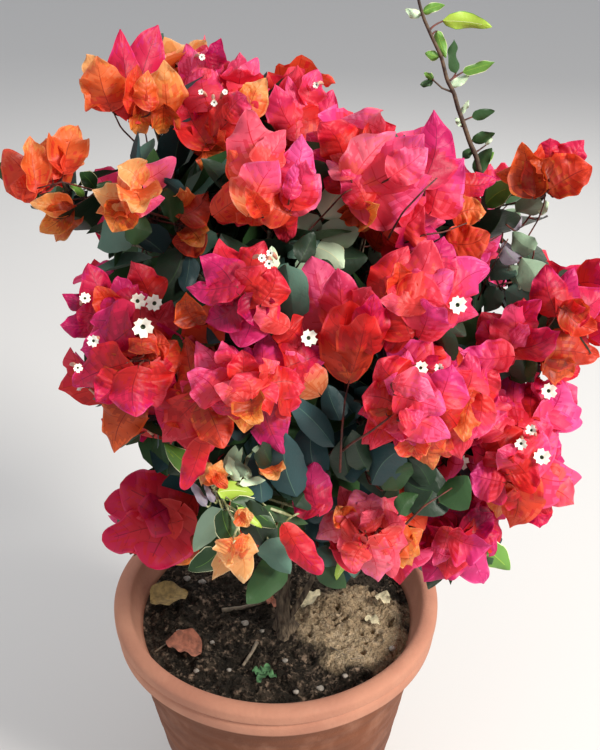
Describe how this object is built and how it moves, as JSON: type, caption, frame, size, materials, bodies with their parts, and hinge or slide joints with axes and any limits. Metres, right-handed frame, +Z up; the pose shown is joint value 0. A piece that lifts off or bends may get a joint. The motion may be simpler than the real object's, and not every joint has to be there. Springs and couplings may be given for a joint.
{
  "type": "bougainvillea bush",
  "caption": "Small flowering bougainvillea bush with a forking woody trunk and a wide crown of papery bracts, growing in a round terracotta pot filled with soil.",
  "frame": {"origin": "centre of the pot's flat underside, on the surface that it stands on", "axes": "+Z up along the pot's axis, -Y towards the front of the bush, +X to its right seen from the front"},
  "size_m": [0.4037, 0.3851, 0.7044],
  "materials": {
    "terracotta": "matte, unglazed",
    "soil": "crumbly, dry on top",
    "bark": "rough, finely cracked",
    "bracts": "papery, satin",
    "amber_bracts": "papery, satin",
    "leaves": "satin",
    "flowers": "matte"
  },
  "bodies": {
    "root": {"pot": "terracotta", "soil": "soil", "trunk": "bark", "bough_bottom_right": "bark", "bough_bottom_middle": "bark", "bough_bottom_left": "bark", "bough_back_low_right": "bark", "bough_young_shoots": "bark", "bough_back_low_left": "bark", "bough_lower_right": "bark", "bough_centre_low": "bark", "bough_left_side": "bark", "bough_heart": "bark", "bough_back_middle": "bark", "bough_back_left": "bark", "bough_back_right": "bark", "bough_right_edge": "bark", "bough_middle": "bark", "bough_middle_left": "bark", "bough_upper_right": "bark", "bough_left_shoulder": "bark", "bough_back_top": "bark", "bough_upper_middle": "bark", "bough_left_wing": "bark", "bough_top": "bark", "bough_right_wing": "bark", "bough_tall_shoot": "bark", "bough_top_left": "bark", "mass_top_left": "amber_bracts", "mass_top": "bracts", "mass_left_wing": "amber_bracts", "mass_left_shoulder": "amber_bracts", "mass_upper_middle": "bracts", "mass_upper_right": "bracts", "mass_right_wing": "amber_bracts", "mass_right_edge": "bracts", "mass_left_side": "bracts", "mass_middle_left": "bracts", "mass_heart": "bracts", "mass_middle": "bracts", "mass_centre_low": "bracts", "mass_lower_right": "bracts", "mass_bottom_right": "bracts", "mass_bottom_middle": "bracts", "mass_bottom_left": "bracts", "mass_young_shoots": "leaves", "mass_tall_shoot": "leaves", "mass_back_top": "bracts", "mass_back_left": "bracts", "mass_back_middle": "bracts", "mass_back_right": "bracts", "mass_back_low_left": "bracts", "mass_back_low_right": "bracts"}
  },
  "joints": []
}
